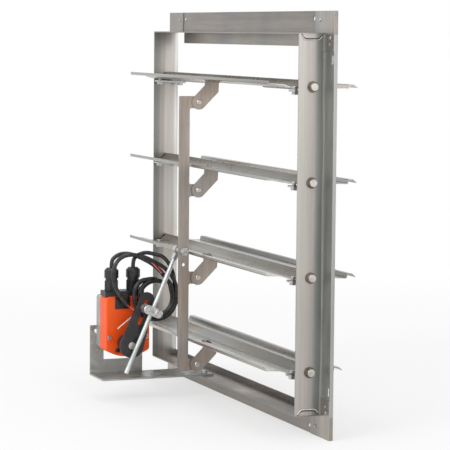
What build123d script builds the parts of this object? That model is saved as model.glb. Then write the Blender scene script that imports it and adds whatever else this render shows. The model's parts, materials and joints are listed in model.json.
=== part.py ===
"""Motorised volume control damper: four parallel blades in a flanged duct frame.

The frame stands upright. X runs across the duct, +Y is the way the air leaves, +Z is up.
The origin is the centre of the duct in the front plane of the rear flange, which is the
plane of the four flange bolts. The blades stand open. Lengths are millimetres.
"""

import math
import os

from build123d import *

# ---- frame ---------------------------------------------------------------------------
duct_width = 676.0  # over the jamb webs
duct_height = 612.0  # over the top and bottom webs
web_depth = 45.0
sheet = 2.0
flange_width = 35.0
flange_lip = 6.0  # return at the outer edge of the flange
top_stop = 21.5  # blade stop that hangs from the top web
bottom_stop = 11.5
stop_setback = 40.0  # the top stop ends this far from each jamb
bolt_hole_radius = 4.2
bolt_column = 294.0  # flange bolts, from the centre line
bolt_row_out = 23.0  # flange bolts, outward from the web
slot_length = 15.0
slot_width = 6.5
slot_inset = 42.0  # side flange slots, from the end of the jamb
slot_out = 28.0  # side flange slots, outward from the web
corner_reach_x = 36.0  # corner plate, inward past the web
corner_reach_z = 29.0
corner_sheet = 1.2
rivet_radius = 3.0
rivet_shank_radius = 1.6
rivet_height = 1.2
rivet_inset_x = 18.0  # rivet in the top or bottom flange, in from the web
rivet_out_z = 20.5
rivet_out_x = 21.5  # rivet in the side flange, out from the web
rivet_inset_z = 8.0
tab_hole_out = 19.0
tab_hole_inset = 17.5
tab_hole_radius = 3.0

# ---- shafts and bushings -----------------------------------------------------------------
axle_y = -20.5
axle_middle_z = -7.0  # midway between the top and bottom shafts
blade_pitch = 152.0
blade_count = 4
shaft_radius = 6.35
shaft_proud = 9.0  # shaft end, past the web
shaft_length = 205.0
running_gap = 0.05
seat_gap = 0.1  # between a shaft and the sheet that grips it
bushing_wall = 1.2
bushing_flange_radius = 9.0
bushing_flange = 1.6

# ---- blades ------------------------------------------------------------------------------
blade_sheet = 1.5
blade_end_gap = 9.0  # blade end to the outer face of the web
open_tilt = 3.0  # degrees, front edge up, with the blades open
front_reach = 74.0
rear_reach = 82.0
last_rear_reach = 61.0  # the lowest blade is cut short to clear the sill
front_lip = 5.5  # height of the upturned front edge
front_v = 1.2  # middle of the sheet above the shaft centre, from here down
front_floor_v = -2.8
rear_floor_v = 0.2
rib_v = 7.0
lip_v = 2.8
front_step_u = 47.5  # where the front flat starts to fall
front_floor_u = 32.0
rib_run = 1.5
rib_width = 8.0
lip_run = 5.5
fold_radius = 1.6

# ---- shaft clamps ------------------------------------------------------------------------
strap_length = 56.0
strap_width = 20.0
strap_sheet = 3.0
strap_inset = 14.0  # middle of the strap, from the blade end
strap_bolt_u = 20.0
strap_bolt_radius = 3.0
strap_head_radius = 4.6
strap_head = 1.8
strap_nut_flats = 10.0
strap_nut = 4.6

# ---- blade crank arms and link bar ---------------------------------------------------------
arm_face_x = -7.0
arm_sheet = 3.0
arm_width = 25.4
arm_near_u = 23.5
pivot_forward = 59.8  # arm pivot ahead of the shaft, with the blades open
pivot_drop = 35.7
pin_radius = 3.0
pin_head_radius = 4.8
pin_head = 1.8
tab_width = 5.6
tab_split = 1.8  # between the two tabs of an arm
tab_v = 4.5
tab_gap = 0.1
plate_gap = 0.3
bar_sheet = 3.0
bar_width = 19.0
bar_ahead = 25.6  # middle of the bar, ahead of the arm pivots
ear_height = 21.0
ear_past_pin = 8.5
bar_hole_radius = 2.9
bar_hole_below_joint = 23.3
ear_fillet = 3.0

# ---- push rod --------------------------------------------------------------------------------
rod_x = -40.0
rod_radius = 4.0
rod_lean = 23.9  # degrees from upright, lower end forward
rod_length = 233.0
rod_top_z = -72.5
eye_radius = 8.0
eye_width = 10.0
neck_start = 7.0  # flats under the rod's eye
neck_length = 11.0
joint_pin_radius = 4.0
standoff_flats = 11.0
joint_nut_flats = 13.0
joint_nut = 5.5
joint_head_radius = 6.0
joint_head = 2.5

# ---- rod clamp ---------------------------------------------------------------------------------
clamp_along = 116.0  # from the rod's upper joint
clamp_bolt_offset = 10.5
clamp_lobe_radius = 8.0
clamp_plate = 3.5  # metal behind the rod groove
clamp_split = 1.0
clamp_bolt_radius = 3.0
clamp_head_radii = [8.2, 7.0]  # over the stud, and on the other side
clamp_head = 3.0

# ---- crank ---------------------------------------------------------------------------------------
hub_y = -185.0
hub_z = -239.5
crank_sheet = 5.0
crank_reach = 84.5  # hub to the centre of the rounded end
crank_end_radius = 13.0
crank_hub_radius = 21.5
crank_slot_width = 8.2
crank_slot_start = 38.0
stud_radius = 4.0
stud_washer_radius = 8.0
stud_washer = 4.0
stud_nut_flats = 13.0
stud_nut = 5.5
output_radius = 6.35
hub_clamp_radius = 17.0
collar_radius = 14.5
collar_depth = 6.0
shaft_seat = 10.0  # output shaft, into the housing

# ---- actuator -------------------------------------------------------------------------------------
bracket_x = -155.0  # rear face of the upright
bracket_sheet = 3.0
base_depth = 27.0
cover_depth = 35.0
cover_width = 80.0
cover_centre_y = -179.5
cover_top = -157.0
cover_bottom = -252.0  # where the rounded belly starts
cover_belly = 12.0
cover_corner = 6.0
cover_edge = 1.5
base_inset = 2.0  # the base is this much smaller all round than the cover
block_height = 9.0
block_width = 72.0
block_y = -185.0
screw_reach = 34.5
screw_z = -229.5
screw_radius = 3.8
screw_socket = 2.0
screw_head = 1.2
plate_width = 50.0
plate_height = 15.0
plate_sheet = 0.8
plate_margin = 3.0  # from the cover's top and front edges
button_radius = 3.6
button_travel = 2.5
button_proud = 3.2
button_length = 8.0
button_y = -199.0
button_z = -252.5
gland_x = -104.0
gland_y = -186.0  # midway between the two glands
gland_spacing = 40.0
gland_radius = 12.5
gland_neck_radius = 10.5
gland_body = 18.0
gland_neck = 5.0
gland_cap = 17.5
block_depth = 30.0

# ---- bracket ----------------------------------------------------------------------------------------
foot_width = 76.0
foot_front = -229.0
foot_rear = -22.0
upright_rear = -131.0
upright_step_z = -215.0
upright_top = -160.5
upright_upper_front = -214.6
window_front = -204.0
window_rear = -151.0
window_top = -237.0
window_bottom = -277.0
slant_slot_y = -213.0
slant_slot_z = -230.3
slant_slot_length = 22.0
slant_slot_width = 6.0
foot_bolt_radius = 3.0
foot_bolt_inset = 18.0
foot_bolt_y = -33.0
foot_head_flats = 10.0
foot_head = 4.0

# ---- cables ---------------------------------------------------------------------------------------------
cable_radius = 3.6
coil_x = -76.0
coil_y = -132.0
coil_z = -161.0
coil_outer = 42.0
coil_inner = 26.5
coil_width = 18.0
lead_radius = 1.1
feed_front = [
    (-104, -206, -107.5),
    (-104, -206, -95.5),
    (-103, -200.4, -84.9),
    (-101, -190.7, -78.3),
    (-98, -179.2, -77),
    (-94.5, -166, -80.5),
    (-90.5, -151.5, -88.5),
    (-86, -134, -102.5),
    (-82.5, -118.5, -118),
    (-81.2, -106, -134),
]
feed_rear = [
    (-104, -166, -107.5),
    (-104, -166, -95.5),
    (-104, -160.4, -84.9),
    (-102.5, -150.7, -78.3),
    (-100, -139.5, -77),
    (-96, -127, -80.5),
    (-90.5, -115, -88.5),
    (-85, -105.5, -101),
    (-81.5, -99, -117),
    (-81.2, -96, -135),
    (-81.2, -96.5, -153),
]
tail_outer = [
    (-71.5, -96, -161),
    (-71.5, -95.5, -143),
    (-71.5, -102, -125),
    (-71.5, -117, -107.5),
    (-71.5, -136, -92.5),
    (-71.5, -158, -80.5),
    (-71.5, -184, -75.5),
    (-71.5, -206, -84),
    (-71.5, -218, -104),
    (-71.5, -217.5, -127),
    (-71.5, -208, -146.5),
    (-71.5, -194.5, -161.5),
]
tail_inner = [
    (-71.5, -106.5, -136.5),
    (-71.5, -114.5, -127.5),
    (-71.5, -123.5, -116.5),
]

# ---- worked out from the sizes above ---------------------------------------------------------------------
half_w = duct_width / 2
half_h = duct_height / 2
flange_x = half_w + flange_width
flange_z = half_h + flange_width
blade_half = half_w - blade_end_gap
axle_heights = [axle_middle_z + ((blade_count - 1) / 2 - i) * blade_pitch for i in range(blade_count)]
pivot_y = axle_y - pivot_forward
bar_y = pivot_y - bar_ahead
arm_back_x = arm_face_x - arm_sheet
bar_face_x = arm_back_x - plate_gap
bar_back_x = bar_face_x - bar_sheet
web_top = -half_h + sheet  # upper face of the bottom web
foot_top = web_top + bracket_sheet
rod_lean_r = math.radians(rod_lean)
rod_axis = Vector(0, -math.sin(rod_lean_r), -math.cos(rod_lean_r))
rod_top = Vector(rod_x, bar_y, rod_top_z)
rod_side = Vector(0, -math.cos(rod_lean_r), math.sin(rod_lean_r))  # square to the rod, forward
clamp_centre = rod_top + rod_axis * clamp_along
stud_centre = clamp_centre + rod_side * clamp_bolt_offset
stud_reach = math.hypot(stud_centre.Y - hub_y, stud_centre.Z - hub_z)
crank_axis = Vector(0, (stud_centre.Y - hub_y) / stud_reach, (stud_centre.Z - hub_z) / stud_reach)
clamp_face_x = rod_x + rod_radius + clamp_plate
clamp_back_x = rod_x - rod_radius - clamp_plate
crank_face_x = clamp_back_x - plate_gap - stud_washer
crank_back_x = crank_face_x - crank_sheet
cover_face_x = bracket_x + bracket_sheet + base_depth + cover_depth
cover_back_x = cover_face_x - cover_depth
gland_centres = [(gland_y + s * gland_spacing / 2, gland_x) for s in (-1, 1)]
block_top = cover_top + block_height
gland_top = block_top + gland_body + gland_neck + gland_cap
foot_bolts = [
    (bracket_x + foot_bolt_inset, foot_bolt_y),
    (bracket_x + foot_width - foot_bolt_inset, foot_bolt_y),
]

os.makedirs("parts", exist_ok=True)


def save(piece, label):
    """Names a finished piece and writes it as one STEP file."""
    piece.label = label
    export_step(piece, f"parts/{label}.step")


def side_plane(x, y=0.0, z=0.0):
    """A plane that faces +X, with its x along +Y and its y along +Z."""
    return Plane(origin=(x, y, z), x_dir=(0, 1, 0), z_dir=(1, 0, 0))


def face_plane(y, x=0.0, z=0.0):
    """A plane that faces -Y, with its x along +X and its y along +Z."""
    return Plane(origin=(x, y, z), x_dir=(1, 0, 0), z_dir=(0, -1, 0))


def blade_plane(x, z):
    """The section plane of an open blade: x forward, y up from the blade, facing -X."""
    tilt = math.radians(open_tilt)
    forward = (0, -math.cos(tilt), math.sin(tilt))
    return Plane(origin=(x, axle_y, z), x_dir=forward, z_dir=(-1, 0, 0))


def under_plane(x, z, v):
    """A plane across an open blade at height v above its shaft, facing down, x forward."""
    tilt = math.radians(open_tilt)
    forward = (0, -math.cos(tilt), math.sin(tilt))
    down = (0, -math.sin(tilt), -math.cos(tilt))
    spot = (x, axle_y + v * math.sin(tilt), z + v * math.cos(tilt))
    return Plane(origin=spot, x_dir=forward, z_dir=down)


def up_plane(z):
    """A level plane that faces up, with its x along +Y and its y along -X."""
    return Plane(origin=(0, 0, z), x_dir=(0, 1, 0), z_dir=(0, 0, 1))


# ---- frame members ------------------------------------------------------------------------------
rivet_spots = [
    (half_w - rivet_inset_x, half_h + rivet_out_z),
    (half_w + rivet_out_x, half_h - rivet_inset_z),
]
stop_half = half_w - stop_setback
sleeve_radius = shaft_radius + running_gap + bushing_wall


def rail(label, up, stop, stop_reach):
    """Top (up = 1) or bottom (up = -1) member, with its flange, return lips and stop."""
    flange_mid = up * (half_h + (flange_width - sheet) / 2)
    with BuildPart() as member:
        with BuildSketch(face_plane(0)):
            with Locations((0, up * (half_h - sheet / 2))):
                Rectangle(duct_width, sheet)
        extrude(amount=web_depth)
        with BuildSketch(face_plane(sheet)):
            with Locations((0, flange_mid)):
                Rectangle(2 * flange_x, flange_width + sheet)
            with Locations((0, up * (half_h - stop / 2))):
                Rectangle(2 * stop_reach, stop)
        extrude(amount=sheet)
        with BuildSketch(face_plane(flange_lip)):
            with Locations((0, up * (flange_z - sheet / 2))):
                Rectangle(2 * flange_x, sheet)
            with Locations((flange_x - sheet / 2, flange_mid), (sheet / 2 - flange_x, flange_mid)):
                Rectangle(sheet, flange_width + sheet)
        extrude(amount=flange_lip)
        with BuildSketch(face_plane(sheet)):
            with Locations(*[(s * bolt_column, up * (half_h + bolt_row_out)) for s in (-1, 1)]):
                Circle(bolt_hole_radius)
            with Locations(*[(s * rivet_spots[0][0], up * rivet_spots[0][1]) for s in (-1, 1)]):
                Circle(rivet_shank_radius)
        extrude(amount=sheet, mode=Mode.SUBTRACT)
        if up < 0:
            with BuildSketch(Plane.XY.offset(-half_h)):
                with Locations(*foot_bolts):
                    Circle(foot_bolt_radius)
            extrude(amount=sheet, mode=Mode.SUBTRACT)
    save(member.part, label)


def jamb(label, side):
    """Left (side = -1) or right (side = 1) member, between the top and bottom members."""
    height = duct_height - 2 * sheet
    with BuildPart() as member:
        with BuildSketch(face_plane(0)):
            with Locations((side * (half_w - sheet / 2), 0)):
                Rectangle(sheet, height)
        extrude(amount=web_depth)
        with BuildSketch(face_plane(sheet)):
            with Locations((side * (half_w + (flange_width - sheet) / 2), 0)):
                Rectangle(flange_width + sheet, height)
        extrude(amount=sheet)
        with BuildSketch(face_plane(flange_lip)):
            with Locations((side * (flange_x - sheet / 2), 0)):
                Rectangle(sheet, height)
        extrude(amount=flange_lip)
        with BuildSketch(side_plane(side * half_w)):
            with Locations(*[(axle_y, z) for z in axle_heights]):
                Circle(sleeve_radius)
        extrude(amount=sheet, both=True, mode=Mode.SUBTRACT)
        with BuildSketch(face_plane(sheet)):
            for up in (-1, 1):
                with Locations((side * (half_w + slot_out), up * (half_h - slot_inset))):
                    SlotOverall(slot_length, slot_width, rotation=90)
                with Locations((side * (half_w + tab_hole_out), up * (half_h - tab_hole_inset))):
                    Circle(tab_hole_radius)
                with Locations((side * rivet_spots[1][0], up * rivet_spots[1][1])):
                    Circle(rivet_shank_radius)
        extrude(amount=sheet, mode=Mode.SUBTRACT)
    save(member.part, label)


rail("top_member", 1, top_stop, stop_half)
rail("bottom_member", -1, bottom_stop, half_w - sheet)
jamb("left_jamb", -1)
jamb("right_jamb", 1)

corners = [(side, up) for side in (-1, 1) for up in (-1, 1)]
with BuildPart() as corner_plates:
    for side, up in corners:
        with BuildSketch(face_plane(0)):
            with BuildLine():
                outline = [
                    (half_w - corner_reach_x, half_h),
                    (half_w - corner_reach_x, flange_z),
                    (flange_x, flange_z),
                    (flange_x, half_h - corner_reach_z),
                    (half_w, half_h - corner_reach_z),
                    (half_w, half_h),
                ]
                Polyline(*[(side * x, up * z) for x, z in outline], close=True)
            make_face()
            with Locations(*[(side * x, up * z) for x, z in rivet_spots]):
                Circle(rivet_shank_radius, mode=Mode.SUBTRACT)
            with Locations((side * (half_w + tab_hole_out), up * (half_h - tab_hole_inset))):
                Circle(tab_hole_radius, mode=Mode.SUBTRACT)
        extrude(amount=corner_sheet)
save(corner_plates.part, "corner_plates")

with BuildPart() as corner_rivets:
    for side, up in corners:
        spots = [(side * x, up * z) for x, z in rivet_spots]
        with BuildSketch(face_plane(sheet)):
            with Locations(*spots):
                Circle(rivet_shank_radius)
        extrude(amount=sheet + corner_sheet)
        with BuildSketch(face_plane(-corner_sheet)):
            with Locations(*spots):
                Circle(rivet_radius)
        extrude(amount=rivet_height)
    heads = corner_rivets.edges().filter_by(GeomType.CIRCLE).group_by(Axis.Y)[0]
    chamfer(heads, rivet_height / 2)
save(corner_rivets.part, "corner_rivets")


def bushings(label, side):
    """The four flanged bushings of one jamb, each snapped through its web."""
    inner = half_w - sheet - bushing_flange
    centres = [(axle_y, z) for z in axle_heights]
    with BuildPart() as row:
        with BuildSketch(side_plane(side * inner)):
            with Locations(*centres):
                Circle(bushing_flange_radius)
        extrude(amount=side * bushing_flange)
        with BuildSketch(side_plane(side * inner)):
            with Locations(*centres):
                Circle(sleeve_radius)
        extrude(amount=side * (sheet + 2 * bushing_flange))
        with BuildSketch(side_plane(side * half_w)):
            with Locations(*centres):
                Circle(bushing_flange_radius)
        extrude(amount=side * bushing_flange)
        with BuildSketch(side_plane(side * inner)):
            with Locations(*centres):
                Circle(shaft_radius + running_gap)
        extrude(amount=side * (sheet + 2 * bushing_flange), mode=Mode.SUBTRACT)
    save(row.part, label)


bushings("left_bushings", -1)
bushings("right_bushings", 1)

# ---- blades ---------------------------------------------------------------------------------------
# In a blade's section u runs forward and v runs up, from the centre of the shaft.
vee_v = (shaft_radius + seat_gap + blade_sheet / 2) * math.sqrt(2)
strap_v = -shaft_radius - seat_gap
floor_tops = [front_floor_v + blade_sheet / 2, rear_floor_v + blade_sheet / 2]
floor_under = front_floor_v - blade_sheet / 2 - tab_gap
step_under = front_v - blade_sheet / 2 - tab_gap
tilt = math.radians(open_tilt)
pivot_u = pivot_forward * math.cos(tilt) - pivot_drop * math.sin(tilt)
pivot_v = -pivot_forward * math.sin(tilt) - pivot_drop * math.cos(tilt)
arm_far_u = arm_near_u + arm_width
tab_spans = [
    (arm_far_u - tab_width, arm_far_u),
    (arm_far_u - 2 * tab_width - tab_split, arm_far_u - tab_width - tab_split),
]
strap_centres = [blade_half - strap_inset, strap_inset - blade_half]


def blade(label, z, reach):
    """One folded blade: upturned front lip, vee over the shafts, raised rear rib and lip."""
    rib_u = reach - lip_run - rib_width
    middle = [
        (front_reach - blade_sheet / 2, front_v + front_lip - blade_sheet),
        (front_reach - blade_sheet / 2, front_v),
        (front_step_u, front_v),
        (front_floor_u, front_floor_v),
        (vee_v - front_floor_v, front_floor_v),
        (0, vee_v),
        (rear_floor_v - vee_v, rear_floor_v),
        (-rib_u + rib_run, rear_floor_v),
        (-rib_u, rib_v),
        (lip_run - reach, rib_v),
        (-reach, lip_v),
    ]
    with BuildPart() as folded:
        with BuildSketch(blade_plane(blade_half, z)):
            with BuildLine():
                FilletPolyline(*middle, radius=fold_radius)
                offset(amount=blade_sheet / 2, side=Side.BOTH, kind=Kind.ARC, closed=True)
            make_face()
        extrude(amount=2 * blade_half)
        with BuildSketch(blade_plane(arm_face_x + tab_gap, z)):
            for near, far in tab_spans:
                with Locations(((near + far) / 2, 0)):
                    Rectangle(far - near + 2 * tab_gap, 4 * front_lip)
        extrude(amount=arm_sheet + 2 * tab_gap, mode=Mode.SUBTRACT)
        for x in strap_centres:
            with BuildSketch(under_plane(x, z, 0)):
                with Locations((-strap_bolt_u, 0), (strap_bolt_u, 0)):
                    Circle(strap_bolt_radius + running_gap)
            extrude(amount=2 * front_lip, both=True, mode=Mode.SUBTRACT)
    save(folded.part, label)


def blade_shafts(label, z):
    """The two stub shafts of a blade, out through the bushings."""
    with BuildPart() as pair:
        for side in (-1, 1):
            with BuildSketch(side_plane(side * (half_w + shaft_proud), axle_y, z)):
                Circle(shaft_radius)
            extrude(amount=-side * shaft_length)
        ends = pair.edges().filter_by(GeomType.CIRCLE)
        chamfer(ends.group_by(Axis.X)[0] + ends.group_by(Axis.X)[-1], shaft_radius / 12)
    save(pair.part, label)


def shaft_straps(label, z):
    """The straps that pull the shafts into the vee, one near each blade end."""
    with BuildPart() as pair:
        for x in strap_centres:
            with BuildSketch(under_plane(x, z, strap_v)):
                Rectangle(strap_length, strap_width)
                with Locations((-strap_bolt_u, 0), (strap_bolt_u, 0)):
                    Circle(strap_bolt_radius + running_gap, mode=Mode.SUBTRACT)
            extrude(amount=strap_sheet)
        fillet(pair.edges().filter_by(Axis((0, 0, 0), under_plane(0, 0, 0).z_dir)), strap_sheet)
    save(pair.part, label)


def strap_bolts(label, z):
    """Round heads on the blade and nuts under the straps."""
    strap_under = strap_v - strap_sheet
    with BuildPart() as bolts:
        for x in strap_centres:
            for u, top in zip((strap_bolt_u, -strap_bolt_u), floor_tops):
                with BuildSketch(under_plane(x, z, top + strap_head)):
                    with Locations((u, 0)):
                        Circle(strap_head_radius)
                extrude(amount=strap_head)
                with BuildSketch(under_plane(x, z, top)):
                    with Locations((u, 0)):
                        Circle(strap_bolt_radius)
                extrude(amount=top - strap_under)
            with BuildSketch(under_plane(x, z, strap_under)):
                with Locations((-strap_bolt_u, 0), (strap_bolt_u, 0)):
                    RegularPolygon(strap_nut_flats / 2, 6, major_radius=False)
            extrude(amount=strap_nut)
    save(bolts.part, label)


def blade_arm(label, z):
    """The crank arm under a blade, with two tabs up through the sheet."""
    lean = math.radians(-45 - open_tilt)
    along = (math.cos(lean), math.sin(lean))
    across = (-along[1], along[0])
    half = arm_width / 2
    front = (pivot_u + half * across[0], pivot_v + half * across[1])
    rear = (pivot_u - half * across[0], pivot_v - half * across[1])
    nose = (pivot_u + half * along[0], pivot_v + half * along[1])
    front_knee = (arm_far_u, front[1] + (arm_far_u - front[0]) * along[1] / along[0])
    rear_knee = (arm_near_u, rear[1] + (arm_near_u - rear[0]) * along[1] / along[0])
    with BuildPart() as arm:
        with BuildSketch(blade_plane(arm_face_x, z)):
            with BuildLine():
                Polyline(
                    rear,
                    rear_knee,
                    (arm_near_u, floor_under),
                    (front_floor_u, floor_under),
                    (front_step_u, step_under),
                    (arm_far_u, step_under),
                    front_knee,
                    front,
                )
                ThreePointArc(front, nose, rear)
            make_face()
            for near, far in tab_spans:
                with Locations(((near + far) / 2, (tab_v + floor_under) / 2)):
                    Rectangle(far - near, tab_v - floor_under)
            with Locations((pivot_u, pivot_v)):
                Circle(pin_radius + running_gap, mode=Mode.SUBTRACT)
        extrude(amount=arm_sheet)
    save(arm.part, label)


def arm_pin(label, z):
    """The riveted pin that joins a blade's arm to the link bar."""
    far_x = bar_back_x - plate_gap
    with BuildPart() as pin:
        with BuildSketch(side_plane(arm_face_x, pivot_y, z - pivot_drop)):
            Circle(pin_head_radius)
        extrude(amount=pin_head)
        with BuildSketch(side_plane(far_x, pivot_y, z - pivot_drop)):
            Circle(pin_radius)
        extrude(amount=arm_face_x - far_x)
        with BuildSketch(side_plane(far_x, pivot_y, z - pivot_drop)):
            Circle(pin_head_radius)
        extrude(amount=-pin_head)
        rims = pin.edges().filter_by(GeomType.CIRCLE)
        chamfer(rims.group_by(Axis.X)[0] + rims.group_by(Axis.X)[-1], pin_head / 2)
    save(pin.part, label)


for number, z in enumerate(axle_heights, start=1):
    last = number == blade_count
    blade(f"blade_{number}", z, last_rear_reach if last else rear_reach)
    blade_shafts(f"blade_shafts_{number}", z)
    shaft_straps(f"shaft_straps_{number}", z)
    strap_bolts(f"strap_bolts_{number}", z)
    blade_arm(f"blade_arm_{number}", z)
    arm_pin(f"arm_pin_{number}", z)

# ---- link bar and its joint pin ---------------------------------------------------------------------
pivot_heights = [z - pivot_drop for z in axle_heights]
bar_top = pivot_heights[0] + ear_height / 2
bar_bottom = pivot_heights[-1] - ear_height / 2
ear_root_y = bar_y + bar_width / 2
ear_end_y = pivot_y + ear_past_pin

with BuildPart() as link_bar:
    with BuildSketch(side_plane(bar_face_x)) as bar_outline:
        with Locations((bar_y, (bar_top + bar_bottom) / 2)):
            Rectangle(bar_width, bar_top - bar_bottom)
        with Locations(*[((bar_y + ear_end_y) / 2, z) for z in pivot_heights]):
            Rectangle(ear_end_y - bar_y, ear_height)
        roots = [v for v in bar_outline.vertices() if abs(v.X - ear_root_y) < sheet]
        inner = [v for v in roots if bar_bottom + sheet < v.Y < bar_top - sheet]
        fillet(inner, ear_fillet)
        tips = [v for v in bar_outline.vertices() if abs(v.X - ear_end_y) < sheet]
        fillet(tips, ear_fillet)
        with Locations(*[(pivot_y, z) for z in pivot_heights]):
            Circle(pin_radius + running_gap, mode=Mode.SUBTRACT)
        with Locations((bar_y, rod_top_z)):
            Circle(joint_pin_radius + running_gap, mode=Mode.SUBTRACT)
        with Locations((bar_y, rod_top_z - bar_hole_below_joint)):
            Circle(bar_hole_radius, mode=Mode.SUBTRACT)
    extrude(amount=-bar_sheet)
save(link_bar.part, "link_bar")

eye_face_x = rod_x + eye_width / 2 + plate_gap
eye_back_x = rod_x - eye_width / 2 - plate_gap
with BuildPart() as joint_pin:
    with BuildSketch(side_plane(bar_face_x, bar_y, rod_top_z)):
        RegularPolygon(joint_nut_flats / 2, 6, major_radius=False)
    extrude(amount=joint_nut)
    with BuildSketch(side_plane(eye_face_x, bar_y, rod_top_z)):
        RegularPolygon(standoff_flats / 2, 6, major_radius=False)
    extrude(amount=bar_back_x - eye_face_x)
    with BuildSketch(side_plane(eye_back_x, bar_y, rod_top_z)):
        Circle(joint_pin_radius)
    extrude(amount=bar_face_x + joint_nut + bar_sheet / 2 - eye_back_x)
    with BuildSketch(side_plane(eye_back_x, bar_y, rod_top_z)):
        Circle(joint_head_radius)
    extrude(amount=-joint_head)
save(joint_pin.part, "joint_pin")

# ---- push rod and its clamp ----------------------------------------------------------------------------
rod_plane = Plane(origin=rod_top, x_dir=(1, 0, 0), z_dir=rod_axis)
with BuildPart() as push_rod:
    with BuildSketch(side_plane(rod_x - eye_width / 2, bar_y, rod_top_z)):
        Circle(eye_radius)
    extrude(amount=eye_width)
    with BuildSketch(rod_plane):
        Circle(rod_radius)
    extrude(amount=rod_length)
    with BuildSketch(rod_plane.offset(neck_start)):
        RegularPolygon(eye_width / 2, 6, major_radius=False, rotation=30)
    extrude(amount=neck_length)
    foot_rim = push_rod.edges().filter_by(GeomType.CIRCLE).sort_by(Axis.Z)[0]
    chamfer(foot_rim, rod_radius / 6)
    with BuildSketch(side_plane(rod_x - eye_width / 2, bar_y, rod_top_z)):
        Circle(joint_pin_radius + running_gap)
    extrude(amount=eye_width, mode=Mode.SUBTRACT)
save(push_rod.part, "push_rod")

clamp_spots = [stud_centre, clamp_centre - rod_side * clamp_bolt_offset]
clamp_depth = clamp_face_x - clamp_back_x
with BuildPart() as rod_clamp:
    with BuildSketch(side_plane(clamp_back_x)):
        with Locations(*[(spot.Y, spot.Z) for spot in clamp_spots]):
            Circle(clamp_lobe_radius)
        make_hull()
        with Locations(*[(spot.Y, spot.Z) for spot in clamp_spots]):
            Circle(clamp_bolt_radius + running_gap, mode=Mode.SUBTRACT)
    extrude(amount=clamp_depth)
    with BuildSketch(rod_plane):
        Circle(rod_radius + 2 * running_gap)
    extrude(amount=rod_length, mode=Mode.SUBTRACT)
    with BuildSketch(side_plane(rod_x - clamp_split / 2, clamp_centre.Y, clamp_centre.Z)):
        Circle(2 * clamp_bolt_offset)
    extrude(amount=clamp_split, mode=Mode.SUBTRACT)
save(rod_clamp.part, "rod_clamp")

with BuildPart() as clamp_screws:
    for spot, head in zip(clamp_spots, clamp_head_radii):
        with BuildSketch(side_plane(clamp_back_x + plate_gap, spot.Y, spot.Z)):
            Circle(clamp_bolt_radius)
        extrude(amount=clamp_depth - plate_gap)
        with BuildSketch(side_plane(clamp_face_x, spot.Y, spot.Z)):
            Circle(head)
        extrude(amount=clamp_head)
    rims = clamp_screws.edges().filter_by(GeomType.CIRCLE).group_by(Axis.X)[-1]
    chamfer(rims, clamp_head / 3)
save(clamp_screws.part, "clamp_screws")

# ---- crank ------------------------------------------------------------------------------------------------
crank_plane = Plane(origin=(crank_back_x, hub_y, hub_z), x_dir=crank_axis, z_dir=(1, 0, 0))
slot_end = crank_reach
with BuildPart() as crank:
    with BuildSketch(crank_plane):
        Circle(crank_hub_radius)
        with Locations((crank_reach, 0)):
            Circle(crank_end_radius)
        make_hull()
        with Locations(((crank_slot_start + slot_end) / 2, 0)):
            SlotOverall(slot_end - crank_slot_start, crank_slot_width, mode=Mode.SUBTRACT)
        Circle(output_radius + running_gap, mode=Mode.SUBTRACT)
    extrude(amount=crank_sheet)
save(crank.part, "crank")

collar_face_x = cover_face_x + collar_depth
with BuildPart() as hub_clamp:
    with BuildSketch(side_plane(collar_face_x + plate_gap, hub_y, hub_z)):
        Circle(hub_clamp_radius)
        Circle(output_radius + running_gap, mode=Mode.SUBTRACT)
    extrude(amount=crank_back_x - collar_face_x - plate_gap)
    rim = hub_clamp.edges().filter_by(GeomType.CIRCLE).group_by(Axis.X)[0].sort_by(SortBy.RADIUS)[-1]
    chamfer(rim, sheet / 2)
save(hub_clamp.part, "hub_clamp")

with BuildPart() as output_shaft:
    with BuildSketch(side_plane(cover_face_x - shaft_seat + sheet, hub_y, hub_z)):
        Circle(output_radius)
    extrude(amount=crank_face_x - cover_face_x + shaft_seat - sheet)
save(output_shaft.part, "output_shaft")

with BuildPart() as crank_stud:
    with BuildSketch(side_plane(crank_face_x, stud_centre.Y, stud_centre.Z)):
        Circle(stud_washer_radius)
    extrude(amount=stud_washer)
    with BuildSketch(side_plane(crank_back_x, stud_centre.Y, stud_centre.Z)):
        Circle(stud_radius)
    extrude(amount=crank_sheet)
    with BuildSketch(side_plane(crank_back_x, stud_centre.Y, stud_centre.Z)):
        RegularPolygon(stud_nut_flats / 2, 6, major_radius=False)
    extrude(amount=-stud_nut)
save(crank_stud.part, "crank_stud")

# ---- actuator ----------------------------------------------------------------------------------------------
base_face_x = bracket_x + bracket_sheet


def housing(x, depth, inset):
    """A housing with a flat top, rounded shoulders and a bulged lower edge, from x forward."""
    half = cover_width / 2 - inset
    top = cover_top - inset
    with BuildSketch(side_plane(x, cover_centre_y)) as outline:
        with BuildLine():
            Polyline((-half, cover_bottom), (-half, top), (half, top), (half, cover_bottom))
            low = (0, cover_bottom - cover_belly + inset)
            ThreePointArc((half, cover_bottom), low, (-half, cover_bottom))
        make_face()
        fillet(outline.vertices(), cover_corner)
    extrude(outline.sketch, amount=depth)


with BuildPart() as actuator_base:
    housing(base_face_x, base_depth, base_inset)
save(actuator_base.part, "actuator_base")

button_bore = button_length + button_travel + plate_gap - button_proud
with BuildPart() as actuator_cover:
    housing(cover_back_x, cover_depth, 0)
    chamfer(actuator_cover.faces().sort_by(Axis.X)[-1].edges(), cover_edge)
    with BuildSketch(side_plane(cover_face_x, hub_y, hub_z)):
        Circle(output_radius + running_gap)
    extrude(amount=-shaft_seat, mode=Mode.SUBTRACT)
    with BuildSketch(side_plane(cover_face_x, button_y, button_z)):
        Circle(button_radius + plate_gap)
    extrude(amount=-button_bore, mode=Mode.SUBTRACT)
save(actuator_cover.part, "actuator_cover")

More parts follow.
